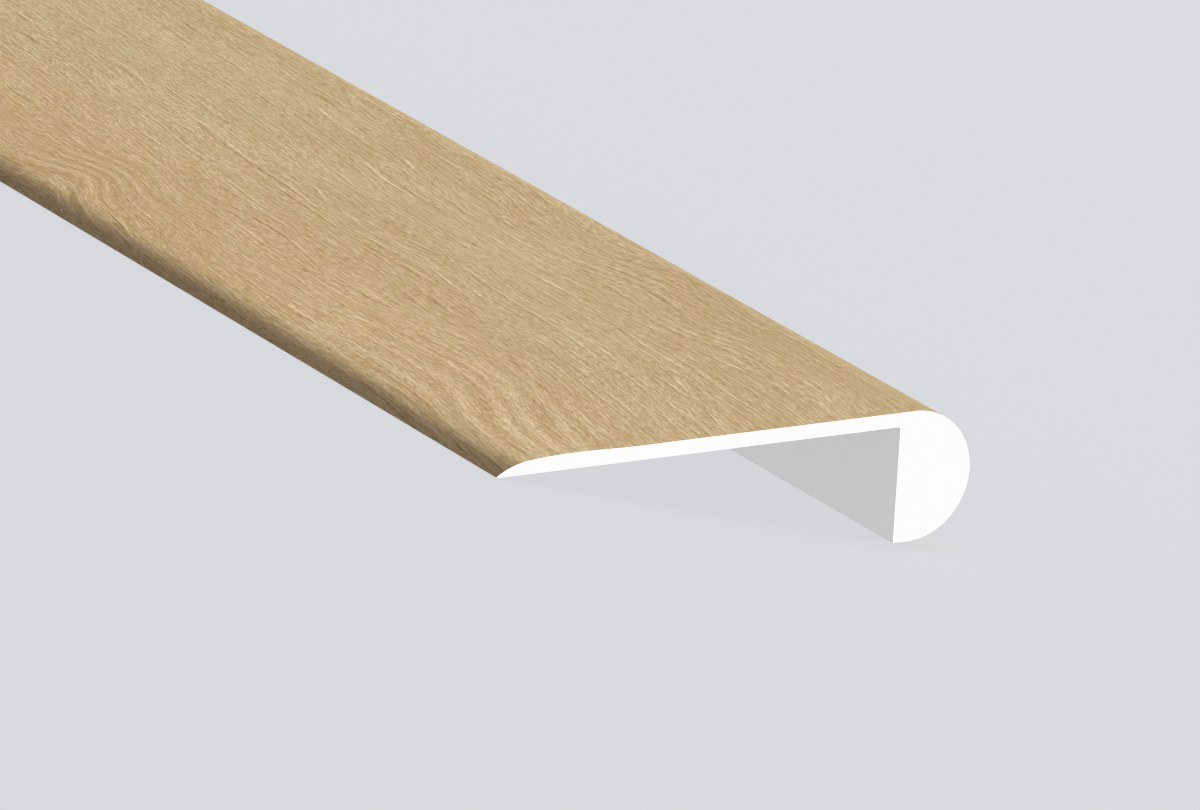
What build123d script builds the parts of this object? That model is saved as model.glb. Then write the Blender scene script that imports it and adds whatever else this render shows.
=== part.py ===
from build123d import *

import os
from math import atan2, cos, sin

# Stair nosing: a white plastic profile, full-round nose and thin leaf in one, with an oak décor film
# bonded over its show face. Drawn as its cross-section and extruded along X. All sizes in millimetres.

# Driving dimensions of the whole strip
length = 2388.0
overall_height = 27.0
leaf_reach = 91.25  # thin edge to the rear face of the nose
leaf_thickness = 3.0  # film included
nose_land = 3.25  # rear face to the start of the round
inner_radius = 0.4  # where the leaf meets the rear face
film_thickness = 0.2

# Driving dimensions of the leaf's eased edge, reaches measured from the thin edge
lip_height = 0.1  # of the profile at its thin edge
shoulder_reach = 7.5  # where the steep easing ends
shoulder_drop = 0.42  # of the shoulder below the crown
crown_reach = 17.0
crown_rise = 0.3  # above the flat of the leaf
crown_run_out = 33.0  # where the leaf turns flat

# Levels in the section: zero is the underside of the leaf
bond_level = leaf_thickness - film_thickness
bottom_level = leaf_thickness - overall_height
nose_radius = overall_height / 2
nose_reach = leaf_reach + nose_land

# The strip lies unheld, thin edge and rear corner of the nose both on the floor
rest_tilt = atan2(-bottom_level, leaf_reach)
nose_level = leaf_thickness - nose_radius
front = nose_reach * cos(rest_tilt) - nose_level * sin(rest_tilt) + nose_radius
section_plane = Plane(
    origin=(0, -front / 2, 0),
    x_dir=(0, cos(rest_tilt), sin(rest_tilt)),
    z_dir=(1, 0, 0),
)

# Points along the bond line, where the film meets the profile
lip = (0, lip_height)
shoulder = (shoulder_reach, bond_level + crown_rise - shoulder_drop)
crown = (crown_reach, bond_level + crown_rise)
fall = ((crown_reach + crown_run_out) / 2, bond_level + crown_rise / 2)
flat_start = (crown_run_out, bond_level)
nose_start = (nose_reach, bond_level)
nose_end = (nose_reach, bottom_level + film_thickness)


def draw_bond_line():
    """Draw the bond line into the current line builder, from under the nose to the thin edge."""
    TangentArc(nose_end, nose_start, tangent=(1, 0))
    Line(nose_start, flat_start)
    run_out = TangentArc(flat_start, fall, tangent=(-1, 0))
    TangentArc(fall, crown, tangent=run_out % 1)
    ease = TangentArc(crown, shoulder, tangent=(-1, 0))
    TangentArc(shoulder, lip, tangent=ease % 1)


# White profile: leaf and nose, with a step under the nose where the film stops
with BuildPart() as core_profile:
    with BuildSketch(section_plane) as core_section:
        with BuildLine() as core_outline:
            draw_bond_line()
            Polyline(
                lip,
                (0, 0),
                (leaf_reach, 0),
                (leaf_reach, bottom_level),
                (nose_reach, bottom_level),
                nose_end,
            )
        make_face()
        inner_corner = core_section.vertices().sort_by_distance((leaf_reach, 0))[0]
        fillet(inner_corner, inner_radius)
    extrude(amount=length / 2, both=True)
core_profile.part.label = "core_profile"

# Décor film: one band of even thickness laid along the bond line
with BuildPart() as decor_film:
    with BuildSketch(section_plane) as film_section:
        with BuildLine() as film_outline:
            draw_bond_line()
            offset(amount=film_thickness, side=Side.RIGHT)
        make_face()
    extrude(amount=length / 2, both=True)
decor_film.part.label = "decor_film"

os.makedirs("parts", exist_ok=True)
export_step(core_profile.part, "parts/core_profile.step")
export_step(decor_film.part, "parts/decor_film.step")
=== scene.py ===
import math

import bpy
import numpy as np
from mathutils import Matrix, Vector


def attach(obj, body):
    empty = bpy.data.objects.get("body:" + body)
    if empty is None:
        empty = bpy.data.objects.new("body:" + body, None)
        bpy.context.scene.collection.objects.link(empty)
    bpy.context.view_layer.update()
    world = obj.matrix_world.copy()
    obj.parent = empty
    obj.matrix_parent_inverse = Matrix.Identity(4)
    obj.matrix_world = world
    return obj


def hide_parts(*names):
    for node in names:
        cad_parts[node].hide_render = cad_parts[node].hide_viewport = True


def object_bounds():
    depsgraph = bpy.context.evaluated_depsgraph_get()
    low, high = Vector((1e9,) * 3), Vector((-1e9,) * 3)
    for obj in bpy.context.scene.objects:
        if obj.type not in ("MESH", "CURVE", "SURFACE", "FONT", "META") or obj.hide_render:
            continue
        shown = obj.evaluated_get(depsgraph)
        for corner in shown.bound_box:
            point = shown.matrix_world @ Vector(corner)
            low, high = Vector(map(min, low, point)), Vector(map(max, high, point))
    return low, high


bl_info = {
    "name": "Stair Nosing",
    "version": (1, 0, 0),
    "blender": (4, 5, 0),
    "location": "3D View > Sidebar > Nosing",
    "description": "Dresses a stair nosing: oak décor film, white plastic profile and a plain studio",
    "category": "Object",
}

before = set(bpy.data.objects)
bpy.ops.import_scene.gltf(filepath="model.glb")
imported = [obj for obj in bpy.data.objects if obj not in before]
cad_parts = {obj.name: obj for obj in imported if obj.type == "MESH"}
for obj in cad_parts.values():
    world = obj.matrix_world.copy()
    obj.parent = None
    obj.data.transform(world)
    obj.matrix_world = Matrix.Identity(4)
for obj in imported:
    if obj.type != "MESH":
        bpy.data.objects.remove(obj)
cad_low, cad_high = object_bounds()
MM = 0.001

# A face that turns this far towards X belongs to a cut end
END_FACING = 0.9

# Edges that turn more than this stay crisp
CREASE_ANGLE = math.radians(30)


# Properties

class NosingSizes(bpy.types.PropertyGroup):
    """Sizes of the cross-section and the strip."""

    length: bpy.props.FloatProperty(
        name="Length", description="Length of the strip",
        default=cad_high.x - cad_low.x, min=0.05, unit="LENGTH")
    overall_height: bpy.props.FloatProperty(
        name="Overall height", description="Height of the nose, square to the leaf",
        default=27.0 * MM, unit="LENGTH")
    leaf_reach: bpy.props.FloatProperty(
        name="Leaf reach", description="From the thin edge to the rear face of the nose",
        default=91.25 * MM, unit="LENGTH")
    leaf_thickness: bpy.props.FloatProperty(
        name="Leaf thickness", description="Thickness of the leaf, film included",
        default=3.0 * MM, unit="LENGTH")
    nose_land: bpy.props.FloatProperty(
        name="Nose land", description="Flat between the rear face and the start of the round",
        default=3.25 * MM, unit="LENGTH")
    inner_radius: bpy.props.FloatProperty(
        name="Inner radius", description="Fillet where the leaf meets the rear face",
        default=0.4 * MM, unit="LENGTH")
    film_thickness: bpy.props.FloatProperty(
        name="Film thickness", description="Thickness of the décor film",
        default=0.2 * MM, unit="LENGTH")
    lip_height: bpy.props.FloatProperty(
        name="Lip height", description="Height of the profile at its thin edge",
        default=0.1 * MM, unit="LENGTH")
    shoulder_reach: bpy.props.FloatProperty(
        name="Shoulder reach", description="How far the steep easing runs in from the thin edge",
        default=7.5 * MM, unit="LENGTH")
    shoulder_drop: bpy.props.FloatProperty(
        name="Shoulder drop", description="How far the shoulder lies below the crown",
        default=0.42 * MM, unit="LENGTH")
    crown_reach: bpy.props.FloatProperty(
        name="Crown reach", description="From the thin edge to the crown",
        default=17.0 * MM, unit="LENGTH")
    crown_rise: bpy.props.FloatProperty(
        name="Crown rise", description="How far the crown stands above the flat of the leaf",
        default=0.3 * MM, unit="LENGTH")
    crown_run_out: bpy.props.FloatProperty(
        name="Crown run-out", description="From the thin edge to where the leaf turns flat",
        default=33.0 * MM, unit="LENGTH")
    length_steps: bpy.props.IntProperty(
        name="Length steps", description="Faces along the strip", default=16, min=8)


class NosingFinish(bpy.types.PropertyGroup):
    """Colours of the film and the profile."""

    oak_dark: bpy.props.FloatVectorProperty(
        name="Oak dark", description="Darkest streaks of the oak print",
        subtype="COLOR", size=3, min=0, max=1, default=(0.378, 0.240, 0.072))
    oak_mean: bpy.props.FloatVectorProperty(
        name="Oak", description="Main tone of the oak print",
        subtype="COLOR", size=3, min=0, max=1, default=(0.582, 0.422, 0.213))
    oak_light: bpy.props.FloatVectorProperty(
        name="Oak light", description="Lightest streaks of the oak print",
        subtype="COLOR", size=3, min=0, max=1, default=(0.845, 0.684, 0.423))
    oak_warm: bpy.props.FloatVectorProperty(
        name="Oak warmth", description="Tint of the oak print towards the thin edge",
        subtype="COLOR", size=3, min=0, max=1, default=(0.98, 0.93, 0.86))
    # Painted shade: a darker tone along the eased edge that stands in for the shading of its round
    painted_edge_shade: bpy.props.FloatVectorProperty(
        name="Edge shade", description="Darker tone printed along the eased edge",
        subtype="COLOR", size=3, min=0, max=1, default=(0.385, 0.365, 0.335))
    core_white: bpy.props.FloatVectorProperty(
        name="Profile white", description="White of the plastic profile",
        subtype="COLOR", size=3, min=0, max=1, default=(0.875, 0.87, 0.86))
    floor_tone: bpy.props.FloatVectorProperty(
        name="Floor", description="Pale tone of the floor",
        subtype="COLOR", size=3, min=0, max=1, default=(0.955, 0.965, 1.0))


# Node trees

class Wire:
    """A socket of a node tree. Arithmetic on it adds Math nodes, and node() adds any other node."""

    def __init__(self, tree, socket=None):
        self.tree = tree
        self.socket = socket

    def node(self, kind, settings=None, inputs=None, output=0):
        """Add a node of the given kind: first its settings, then its inputs, each a value or a Wire."""
        made = self.tree.nodes.new(kind)
        for key, value in (settings or {}).items():
            if key == "stops":
                ramp = made.color_ramp.elements
                while len(ramp) < len(value):
                    ramp.new(0.5)
                for stop, (place, colour) in zip(ramp, value):
                    stop.position = place
                    stop.color = (*colour, 1)
            else:
                setattr(made, key, value)
        for key, value in (inputs or {}).items():
            if isinstance(value, Wire):
                self.tree.links.new(value.socket, made.inputs[key])
            else:
                made.inputs[key].default_value = value
        return Wire(self.tree, made.outputs[output] if len(made.outputs) else None)

    def math(self, operation, *values):
        return self.node("ShaderNodeMath", {"operation": operation}, dict(enumerate(values)))

    def __add__(self, other):
        return self.math("ADD", self, other)

    def __sub__(self, other):
        return self.math("SUBTRACT", self, other)

    def __rsub__(self, other):
        return self.math("SUBTRACT", other, self)

    def __mul__(self, other):
        return self.math("MULTIPLY", self, other)

    def __truediv__(self, other):
        return self.math("DIVIDE", self, other)

    def __gt__(self, other):
        return self.math("GREATER_THAN", self, other)

    __radd__ = __add__
    __rmul__ = __mul__

    def bell(self):
        """1 where the value is zero, falling smoothly to 0 on both sides."""
        return self.math("EXPONENT", self * self * -1)

    def step(self):
        """A smooth step from 0 to 1, half way where the value is zero."""
        return self.math("TANH", self) * 0.5 + 0.5


# Cross-section, in the section's own frame: across from the thin edge, up from the leaf's underside

def arc_on(start, end, heading, count):
    """Points and headings along the arc that leaves start on a heading and reaches end."""
    chord = math.atan2(end[1] - start[1], end[0] - start[0])
    half = math.remainder(chord - heading, math.tau)
    radius = math.dist(start, end) / (2 * math.sin(half))
    centre = (start[0] - radius * math.sin(heading), start[1] + radius * math.cos(heading))
    run = []
    for step in range(1, count + 1):
        angle = heading + 2 * half * step / count
        run.append((centre[0] + radius * math.sin(angle), centre[1] - radius * math.cos(angle), angle))
    return run


def bond_line(sizes):
    """Points and headings of the line where the film meets the profile, thin edge to underside."""
    level = sizes.leaf_thickness - sizes.film_thickness
    crown = (sizes.crown_reach, level + sizes.crown_rise)
    shoulder = (sizes.shoulder_reach, crown[1] - sizes.shoulder_drop)
    fall = ((sizes.crown_reach + sizes.crown_run_out) / 2, level + sizes.crown_rise / 2)
    flat = (sizes.crown_run_out, level)
    nose_reach = sizes.leaf_reach + sizes.nose_land
    nose_end = (nose_reach, sizes.leaf_thickness - sizes.overall_height + sizes.film_thickness)
    shoulder_steps, lip_steps, crown_steps, nose_steps = 16, 32, 10, 72
    easing = arc_on(crown, shoulder, math.pi, shoulder_steps)
    easing += arc_on(shoulder, (0, sizes.lip_height), easing[-1][2], lip_steps)
    line = [(across, up, heading - math.pi) for across, up, heading in reversed(easing)]
    line.append((*crown, 0.0))
    line += arc_on(crown, fall, 0.0, crown_steps)
    line += arc_on(fall, flat, line[-1][2], crown_steps)
    line.append((nose_reach, level, 0.0))
    line += arc_on((nose_reach, level), nose_end, 0.0, nose_steps)
    return line


def film_outline(sizes):
    """Closed outline of the film: its show side first, then back along the bond line."""
    bond = bond_line(sizes)
    film = sizes.film_thickness
    show = [(a - film * math.sin(h), u + film * math.cos(h)) for a, u, h in bond]
    return show + [(a, u) for a, u, _ in reversed(bond)]


def profile_outline(sizes):
    """Closed outline of the white profile under the film."""
    bottom = sizes.leaf_thickness - sizes.overall_height
    reach, radius = sizes.leaf_reach, sizes.inner_radius
    corner_steps = 8
    outline = [(a, u) for a, u, _ in bond_line(sizes)]
    outline += [(reach + sizes.nose_land, bottom), (reach, bottom), (reach, -radius)]
    corner = arc_on((reach, -radius), (reach - radius, 0), math.pi / 2, corner_steps)
    outline += [(a, u) for a, u, _ in corner]
    return outline + [(0, 0)]


def rest_place(sizes):
    """Tilt of the strip as it lies on its thin edge and rear corner, and its shift across."""
    bottom = sizes.leaf_thickness - sizes.overall_height
    tilt = math.atan2(-bottom, sizes.leaf_reach)
    radius = sizes.overall_height / 2
    reach = sizes.leaf_reach + sizes.nose_land
    front = reach * math.cos(tilt) - (sizes.leaf_thickness - radius) * math.sin(tilt) + radius
    return tilt, -front / 2


def laid_down(points, sizes):
    """Section points turned and shifted to where the strip lies."""
    tilt, shift = rest_place(sizes)
    c, s = math.cos(tilt), math.sin(tilt)
    return [(a * c - u * s + shift, a * s + u * c) for a, u in points]


# Sweeping a cross-section along the strip

def sweep_tree():
    """Node group that sweeps the object's own closed curve along X and closes both ends."""
    tree = bpy.data.node_groups.new("profile_sweep", "GeometryNodeTree")
    face = tree.interface
    face.new_socket("Geometry", in_out="OUTPUT", socket_type="NodeSocketGeometry")
    face.new_socket("Outline", in_out="INPUT", socket_type="NodeSocketGeometry")
    face.new_socket("Length", in_out="INPUT", socket_type="NodeSocketFloat")
    face.new_socket("Steps", in_out="INPUT", socket_type="NodeSocketInt")
    face.new_socket("Side finish", in_out="INPUT", socket_type="NodeSocketMaterial")
    face.new_socket("End finish", in_out="INPUT", socket_type="NodeSocketMaterial")
    net = Wire(tree)
    given = tree.nodes.new("NodeGroupInput")
    outline, length, steps, side, end = [Wire(tree, given.outputs[i]) for i in range(5)]
    near = net.node("ShaderNodeCombineXYZ", inputs={"X": length * 0.5})
    far = net.node("ShaderNodeCombineXYZ", inputs={"X": length * -0.5})
    rail = net.node("GeometryNodeCurvePrimitiveLine", inputs={"Start": far, "End": near})
    rail = net.node("GeometryNodeResampleCurve", inputs={"Curve": rail, "Count": steps + 1})
    rail = net.node("GeometryNodeSetCurveTilt", inputs={"Curve": rail, "Tilt": math.pi})
    run = net.node("GeometryNodeSplineParameter", output="Length")
    store = {"data_type": "FLOAT", "domain": "POINT"}
    kind = "GeometryNodeStoreNamedAttribute"
    rail = net.node(kind, store, {"Geometry": rail, "Name": "along", "Value": run})
    outline = net.node(kind, store, {"Geometry": outline, "Name": "across", "Value": run})
    swept = net.node("GeometryNodeCurveToMesh",
                     inputs={"Curve": rail, "Profile Curve": outline, "Fill Caps": True})
    swept = net.node("GeometryNodeFlipFaces", inputs={"Mesh": swept})
    named = {"data_type": "FLOAT"}
    along = net.node("GeometryNodeInputNamedAttribute", named, {"Name": "along"})
    across = net.node("GeometryNodeInputNamedAttribute", named, {"Name": "across"})
    flat = net.node("ShaderNodeCombineXYZ", inputs={"X": along, "Y": across})
    swept = net.node(kind, {"data_type": "FLOAT2", "domain": "CORNER"},
                     {"Geometry": swept, "Name": "unrolled", "Value": flat})
    crease = net.node("GeometryNodeInputMeshEdgeAngle") > CREASE_ANGLE
    swept = net.node("GeometryNodeSetShadeSmooth", {"domain": "EDGE"},
                     {"Geometry": swept, "Selection": crease, "Shade Smooth": False})
    swept = net.node("GeometryNodeRealizeInstances", inputs={"Geometry": swept})
    swept = net.node("GeometryNodeSetMaterial", inputs={"Geometry": swept, "Material": side})
    facing = net.node("ShaderNodeSeparateXYZ", inputs={"Vector": net.node("GeometryNodeInputNormal")})
    capped = net.math("ABSOLUTE", facing) > END_FACING
    swept = net.node("GeometryNodeSetMaterial",
                     inputs={"Geometry": swept, "Selection": capped, "Material": end})
    net.node("NodeGroupOutput", inputs={"Geometry": swept})
    return tree


def sweep(name, outline, sizes, side, end):
    """Sweep a closed outline along the strip and return it as a plain mesh object."""
    tree = bpy.data.node_groups.get("profile_sweep") or sweep_tree()
    curve = bpy.data.curves.new(name, "CURVE")
    curve.dimensions = "3D"
    spline = curve.splines.new("POLY")
    points = laid_down(outline, sizes)
    spline.points.add(len(points) - 1)
    for point, (y, z) in zip(spline.points, points):
        point.co = (y, z, 0, 1)
    spline.use_cyclic_u = True
    holder = bpy.data.objects.new(name + "_outline", curve)
    bpy.context.scene.collection.objects.link(holder)
    modifier = holder.modifiers.new("sweep", "NODES")
    modifier.node_group = tree
    values = {"Length": sizes.length, "Steps": sizes.length_steps, "Side finish": side, "End finish": end}
    for item in tree.interface.items_tree:
        if item.in_out == "INPUT" and item.name in values:
            modifier[item.identifier] = values[item.name]
    graph = bpy.context.evaluated_depsgraph_get()
    mesh = bpy.data.meshes.new_from_object(holder.evaluated_get(graph), depsgraph=graph)
    bpy.data.objects.remove(holder)
    bpy.data.curves.remove(curve)
    if not mesh.polygons:
        raise RuntimeError(name + ": the sweep gave no faces")
    mesh.name = name
    piece = bpy.data.objects.new(name, mesh)
    bpy.context.scene.collection.objects.link(piece)
    return piece


def lay_out_bake_map(mesh, length, show_width):
    """Give the film a bake map: its show side in stacked lengths, its back and its ends in bands above."""
    rows, columns, gap = 4, 2, 0.006
    show_top = 0.94
    back_left, back_right, back_bottom, back_top = 0.02, 0.98, 0.946, 0.966
    end_bottom, end_across, end_up = 0.972, 2.0, 0.8
    near_middle, far_middle = 0.75, 0.25
    loops = len(mesh.loops)
    unrolled = np.empty(loops * 2)
    mesh.uv_layers["unrolled"].data.foreach_get("uv", unrolled)
    unrolled = unrolled.reshape(-1, 2)
    places = np.array([mesh.vertices[loop.vertex_index].co for loop in mesh.loops])
    cut = length / (rows * columns)
    flat = np.empty((loops, 2))
    for polygon in mesh.polygons:
        own = slice(polygon.loop_start, polygon.loop_start + polygon.loop_total)
        along, across = unrolled[own, 0], unrolled[own, 1]
        # The face that closes the outline ends where the outline starts
        if np.ptp(across) > show_width:
            across[across > show_width] = 0
        if abs(polygon.normal.x) > END_FACING:
            middle = near_middle if polygon.normal.x > 0 else far_middle
            flat[own, 0] = middle + end_across * places[own, 1]
            flat[own, 1] = end_bottom + end_up * places[own, 2]
        elif across.mean() < show_width:
            cell = min(int(along.mean() / cut), rows * columns - 1)
            flat[own, 0] = (cell % columns + gap + (1 - 2 * gap) * (along / cut - cell)) / columns
            flat[own, 1] = (cell // columns + gap + (1 - 2 * gap) * across / show_width) / rows * show_top
        else:
            flat[own, 0] = back_left + (back_right - back_left) * along / length
            flat[own, 1] = back_bottom + (back_top - back_bottom) * (across / show_width - 1)
    mesh.uv_layers["unrolled"].data.foreach_set("uv", unrolled.ravel())
    layer = mesh.uv_layers.new(name="OFBake")
    layer.data.foreach_set("uv", flat.ravel())


# Materials

def fresh_material(name):
    """A new material with an empty node tree, and its starting Wire."""
    material = bpy.data.materials.new(name)
    material.use_nodes = True
    material.node_tree.nodes.clear()
    return material, Wire(material.node_tree)


def close_material(net, inputs):
    """Add the surface shader and the output."""
    shader = net.node("ShaderNodeBsdfPrincipled", inputs=inputs)
    net.node("ShaderNodeOutputMaterial", inputs={"Surface": shader})


def pale_oak(finish, length):
    """Pale flat-sawn oak: wavy growth lines, light and dark pore strokes that also stand as painted
    highlights and shadows of the embossing, soft patches, painted shade along the eased edge and a painted
    lighter band beside it.

    Sizes and places are in millimetres, along from the near end and across from the thin edge.
    """
    material, net = fresh_material("pale_oak")
    unrolled = net.node("ShaderNodeUVMap", {"uv_map": "unrolled"})
    spot = net.node("ShaderNodeSeparateXYZ", inputs={"Vector": unrolled})
    along = (spot - length) / MM
    across = Wire(net.tree, spot.socket.node.outputs["Y"]) / MM

    def streaks(x, y, size, seed, detail=0.0):
        """Noise drawn out to a length and a width, about -1 to 1 and even on average."""
        place = net.node("ShaderNodeCombineXYZ", inputs={"X": x / size[0], "Y": y / size[1], "Z": seed})
        noise = net.node("ShaderNodeTexNoise", {"noise_dimensions": "3D"},
                         {"Vector": place, "Scale": 1.0, "Detail": detail, "Roughness": 0.5})
        return (noise - 0.5) * 4

    def hill(place, size):
        """A smooth rise round one place, 1 at its top."""
        return ((along - place[0]) / size[0]).bell() * ((across - place[1]) / size[1]).bell()

    def climb(place, run, size):
        """A smooth step along the strip, from -1 to 1, that dies away from its place."""
        return net.math("TANH", (along - place[0]) / run) * hill(place, size)

    def rows(field, spacing, width):
        """Thin lines across a field, a spacing apart, as wide as a share of it."""
        return net.math("MAXIMUM", 1 - net.math("PINGPONG", field / spacing, 0.5) / width, 0.0)

    def gate(size, seed, lift):
        """Stretches of noise that let lines show, none elsewhere."""
        return net.math("MAXIMUM", streaks(along, fibre, size, seed) + lift, 0.0)

    def tinted(colour, amount, tint):
        """A colour multiplied by a tint, by an amount that may pass 1."""
        mix = {"data_type": "RGBA", "blend_type": "MULTIPLY", "clamp_factor": False}
        return net.node("ShaderNodeMix", mix, {0: amount, 6: colour, 7: (*tint, 1)}, output=2)

    # Run of the growth lines: a slow lean, uneven bends, two climbs, an arch and a sweep at the near end
    first_climb, second_climb = (-54, 82), (-101, 85)
    arch, sweep_out = (-192, 15), (-31, 14)
    lean = (net.math("SINE", (along + 120) / 350) + 0.086) * 26
    lean = lean * (1.1 - ((across - 70) / 40).step() * 0.7)
    bend = streaks(along, across, (120, 42), 3.7) * 3.0 + streaks(along, across, (38, 17), 8.1) * 0.8
    figure = hill(arch, (12, 15)) * 8 - climb(sweep_out, 24, (55, 20)) * 6.5
    figure = figure + climb(first_climb, 12, (55, 15)) * 6 + climb(second_climb, 14, (55, 15)) * 6.5
    line = across + lean - bend - figure
    fibre = across + lean - bend - figure * 0.6

    # Strokes of the print, growth rings, pores and fine pits, each dark one a little beside its light one,
    # so that the pairs also stand as painted highlights and painted shadows of the embossing
    ring_gap, pore_gap, pit_gap = 2.2, 1.9, 0.8
    ring_lag, pore_lag, pit_lag = 1.0, 0.45, 0.4
    pore_width, pit_width = 0.11, 0.2
    climbs = hill(first_climb, (15, 9)) + hill(second_climb, (17, 9))
    swells = hill(arch, (18, 14)) + hill(sweep_out, (36, 16))
    calm = 1 - climbs * 0.65 - swells * 0.35
    rings = line + streaks(along, line, (60, 5), 27.0)
    pores = fibre + streaks(along, fibre, (26, 2.6), 5.2) * 0.8
    pits = fibre + streaks(along, fibre, (15, 1.2), 45.0) * 0.45
    open_pores = gate((17, 1.7), 7.7, 0.7) * calm * 0.95
    open_pits = gate((7, 0.8), 49.0, 0.5) * calm * 0.6
    pale = rows(rings, ring_gap, 0.2) * (gate((26, 5), 31.0, 0.2) * 0.2 + climbs * 0.7)
    pale = pale + rows(pores, pore_gap, pore_width) * open_pores
    pale = pale + rows(pits, pit_gap, pit_width) * open_pits
    deep = rows(rings + ring_lag, ring_gap, 0.25) * (gate((26, 5), 37.0, 0.2) * 0.2 + climbs * 0.6)
    deep = deep + rows(pores + pore_lag, pore_gap, pore_width) * open_pores
    deep = deep + rows(pits + pit_lag, pit_gap, pit_width) * open_pits
    threads = streaks(along, fibre, (12, 0.34), 43.0)
    dashes = streaks(along, fibre, (1.7, 0.24), 9.4)

    # Tone, half way up the ramp on average: broad changes first, then bands and patches, then strokes
    near = ((along + 100) / 45).step()
    nose_side = ((across - 88) / 7).step()
    # Painted light: a lighter band about 12 mm in from the thin edge, near the near end, that offsets the
    # shade on the rise towards the crown
    painted_slope_lift = ((across - 12) / 8).bell()
    bands = streaks(along, line, (110, 3.0), 1.3, detail=2.0)
    patches = streaks(along, across, (46, 18), 15.8, detail=1.0)
    swell = net.math("SINE", rings * 1.3) * (swells + 0.1)
    tone = 0.5 + painted_slope_lift * near * 0.13 - nose_side * (near + 1) * 0.06
    tone = tone + bands * 0.03 + patches * 0.045 + swell * 0.15
    tone = tone + threads * 0.07 + dashes * 0.215 + pale * 0.23 - deep * 0.25
    colour = net.node("ShaderNodeValToRGB", {"stops": (
        (0.0, finish.oak_dark), (0.5, finish.oak_mean), (1.0, finish.oak_light))}, {"Fac": tone})

    # The print is warmer towards the thin edge, and unevenly so along the fibres
    warmth = (1 - ((across - 36) / 14).step()) * (1 - near * 0.35)
    warmth = warmth + streaks(along, fibre, (24, 5), 61.0, detail=1.0) * 0.5
    warmth = warmth + streaks(along, fibre, (4, 0.9), 67.0, detail=1.0) * 0.9
    colour = tinted(colour, warmth, finish.oak_warm)

    # Painted shade along the eased edge, in place of the shading of its round, with an inner rim that
    # wanders slightly and a little more of it away from the near end
    reach = 4.5 + streaks(along, across, (30, 8), 21.0, detail=1.0) * 0.4
    shade = net.math("EXPONENT", net.math("POWER", across / reach, 3.2) * -1) * (1.07 - near * 0.07)
    colour = tinted(colour, shade, finish.painted_edge_shade)

    rough = 0.56 - dashes * 0.05 - pale * 0.04
    relief = dashes * 0.6 + threads * 0.3 + pale * 0.4 - deep * 0.4
    bump = net.node("ShaderNodeBump", inputs={"Strength": 0.08, "Distance": 0.06 * MM, "Height": relief})
    close_material(net, {"Base Color": colour, "Roughness": rough, "Normal": bump,
                         "Specular IOR Level": 0.3})
    return material


def white_plastic(finish):
    """White plastic: drawn lines along the strip, faint saw marks on the ends, slight mottling."""
    material, net = fresh_material("white_plastic")
    place = net.node("ShaderNodeTexCoord", output="Object")
    drawn = net.node("ShaderNodeMapping", inputs={"Vector": place, "Scale": (3, 900, 900)})
    lines = net.node("ShaderNodeTexNoise", inputs={"Vector": drawn, "Scale": 1.0, "Detail": 2.0})
    sawn = net.node("ShaderNodeMapping", inputs={
        "Vector": place, "Rotation": (math.radians(24), 0, 0), "Scale": (40, 1500, 60)})
    marks = net.node("ShaderNodeTexNoise", inputs={"Vector": sawn, "Scale": 1.0, "Detail": 1.0})
    mottle = net.node("ShaderNodeTexNoise", inputs={"Vector": place, "Scale": 90.0, "Detail": 3.0})
    facing = net.node("ShaderNodeNewGeometry", output="Normal")
    end = net.math("ABSOLUTE", net.node("ShaderNodeSeparateXYZ", inputs={"Vector": facing})) > END_FACING
    grain = end * marks + (1 - end) * lines
    tone = 0.5 + (mottle - 0.5) * 0.8 + (grain - 0.5) * 0.6
    dim_share = 0.955
    dim = tuple(part * dim_share for part in finish.core_white)
    stops = ((0.0, dim), (1.0, finish.core_white))
    colour = net.node("ShaderNodeValToRGB", {"stops": stops}, {"Fac": tone})
    rough = 0.5 + (grain - 0.5) * 0.2
    bump = net.node("ShaderNodeBump", inputs={"Strength": 0.2, "Distance": 0.05 * MM, "Height": grain})
    close_material(net, {"Base Color": colour, "Roughness": rough, "Normal": bump,
                         "Specular IOR Level": 0.3})
    return material


def pale_floor(finish):
    """Plain pale floor, mostly lit from within so that it keeps one even tone."""
    material, net = fresh_material("pale_floor")
    close_material(net, {"Base Color": (0.08, 0.08, 0.08, 1), "Emission Color": (*finish.floor_tone, 1),
                         "Emission Strength": 0.64, "Roughness": 1.0, "Specular IOR Level": 0.0})
    return material


def shared_material(name, maker, *values):
    """A material made once and then found again by its name."""
    return bpy.data.materials.get(name) or maker(*values)


# Operators

class NOSING_OT_white_profile(bpy.types.Operator):
    """Sweep the white plastic profile: leaf, nose and rear face in one piece"""

    bl_idname = "nosing.white_profile"
    bl_label = "White profile"

    def execute(self, context):
        sizes, finish = context.scene.nosing_sizes, context.scene.nosing_finish
        white = shared_material("white_plastic", white_plastic, finish)
        piece = sweep("white_profile", profile_outline(sizes), sizes, white, white)
        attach(piece, "root")
        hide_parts("core_profile")
        return {"FINISHED"}


class NOSING_OT_oak_face(bpy.types.Operator):
    """Sweep the oak décor film over the leaf, its eased edge and the round of the nose"""

    bl_idname = "nosing.oak_face"
    bl_label = "Oak face"

    def execute(self, context):
        sizes, finish = context.scene.nosing_sizes, context.scene.nosing_finish
        oak = shared_material("pale_oak", pale_oak, finish, sizes.length)
        white = shared_material("white_plastic", white_plastic, finish)
        outline = film_outline(sizes)
        piece = sweep("oak_face", outline, sizes, oak, white)
        show = outline[:len(outline) // 2]
        width = sum(math.dist(a, b) for a, b in zip(show, show[1:]))
        lay_out_bake_map(piece.data, sizes.length, width)
        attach(piece, "root")
        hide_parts("decor_film")
        return {"FINISHED"}


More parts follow.
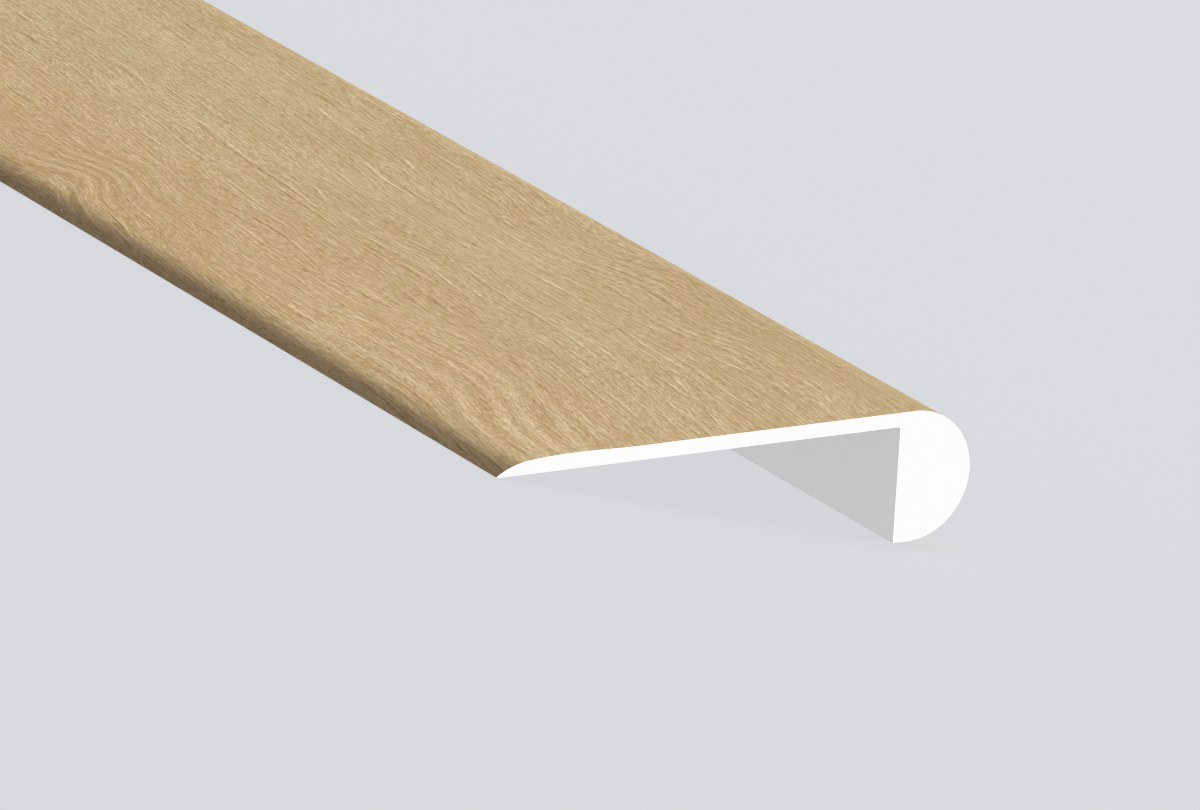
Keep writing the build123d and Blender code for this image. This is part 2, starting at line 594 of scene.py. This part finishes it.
class NOSING_OT_stage(bpy.types.Operator):
    """Set up the pale floor, the soft lights, the world and the camera"""

    bl_idname = "nosing.stage"
    bl_label = "Stage"

    def execute(self, context):
        scene = context.scene
        sizes, finish = scene.nosing_sizes, scene.nosing_finish
        near_end = Vector((sizes.length / 2, 0, 0))

        mesh = bpy.data.meshes.new("floor")
        half = 90.0
        corners = [(-half, -half, 0), (half, -half, 0), (half, half, 0), (-half, half, 0)]
        mesh.from_pydata(corners, [], [(0, 1, 2, 3)])
        mesh.materials.append(pale_floor(finish))
        floor = bpy.data.objects.new("floor", mesh)
        scene.collection.objects.link(floor)

        def soft_light(name, place, aim, size, power):
            lamp = bpy.data.lights.new(name, "AREA")
            lamp.shape = "DISK"
            lamp.size = size
            lamp.energy = power
            light = bpy.data.objects.new(name, lamp)
            light.location = near_end + Vector(place)
            light.rotation_mode = "QUATERNION"
            light.rotation_quaternion = (Vector(aim) - Vector(place)).to_track_quat("-Z", "Y")
            light.visible_camera = False
            scene.collection.objects.link(light)

        # Places and aims are measured from the near end
        stand_off = 3.3
        far_place = (-stand_off - sizes.length, -0.3, 0.6)
        soft_light("key_light", place=(-0.6, 2.2, 2.2), aim=(-0.2, 0, 0), size=1.6, power=55)
        soft_light("end_light", place=(stand_off, -0.3, 0.6), aim=(0, 0, 0), size=1.2, power=62)
        soft_light("far_light", place=far_place, aim=(-sizes.length, 0, 0), size=1.2, power=40)

        world = bpy.data.worlds.new("studio")
        world.use_nodes = True
        backing = world.node_tree.nodes["Background"]
        backing.inputs["Color"].default_value = (1, 1, 1, 1)
        backing.inputs["Strength"].default_value = 0.55
        scene.world = world
        scene.view_settings.view_transform = "Standard"

        # A narrow pixel filter keeps the grain crisp
        scene.cycles.filter_width = 1.0

        # Camera: a long lens aimed at the near end, rolled as the strip lies tilted on the floor
        lens = bpy.data.cameras.new("camera")
        lens.sensor_width = 36.0
        lens.lens = 421.0
        lens.clip_start, lens.clip_end = 0.05, 400.0
        aim = near_end + Vector((0, -35.43, 17.61)) * MM
        distance = 2.7104
        azimuth, elevation, roll = math.radians(55.662), math.radians(9.806), math.radians(16.19)
        turn = Matrix.Rotation(azimuth, 4, "Z") @ Matrix.Rotation(math.pi / 2 - elevation, 4, "X")
        turn = turn @ Matrix.Rotation(roll, 4, "Z")
        camera = bpy.data.objects.new("camera", lens)
        camera.matrix_world = Matrix.Translation(aim) @ turn @ Matrix.Translation((0, 0, distance))
        scene.collection.objects.link(camera)
        scene.camera = camera
        return {"FINISHED"}


class NOSING_PT_panel(bpy.types.Panel):
    """Sizes, finishes and the steps that build the nosing"""

    bl_idname = "NOSING_PT_panel"
    bl_label = "Stair Nosing"
    bl_space_type = "VIEW_3D"
    bl_region_type = "UI"
    bl_category = "Nosing"

    def draw(self, context):
        layout = self.layout
        for group in (context.scene.nosing_sizes, context.scene.nosing_finish):
            box = layout.box()
            for name in group.__annotations__:
                box.prop(group, name)
        for step in (NOSING_OT_white_profile, NOSING_OT_oak_face, NOSING_OT_stage):
            layout.operator(step.bl_idname)


classes = (
    NosingSizes,
    NosingFinish,
    NOSING_OT_white_profile,
    NOSING_OT_oak_face,
    NOSING_OT_stage,
    NOSING_PT_panel,
)


def register():
    for item in classes:
        bpy.utils.register_class(item)
    bpy.types.Scene.nosing_sizes = bpy.props.PointerProperty(type=NosingSizes)
    bpy.types.Scene.nosing_finish = bpy.props.PointerProperty(type=NosingFinish)


def unregister():
    del bpy.types.Scene.nosing_finish
    del bpy.types.Scene.nosing_sizes
    for item in reversed(classes):
        bpy.utils.unregister_class(item)


def main():
    register()
    bpy.ops.nosing.white_profile()
    bpy.ops.nosing.oak_face()
    bpy.ops.nosing.stage()


if __name__ == "__main__":
    main()
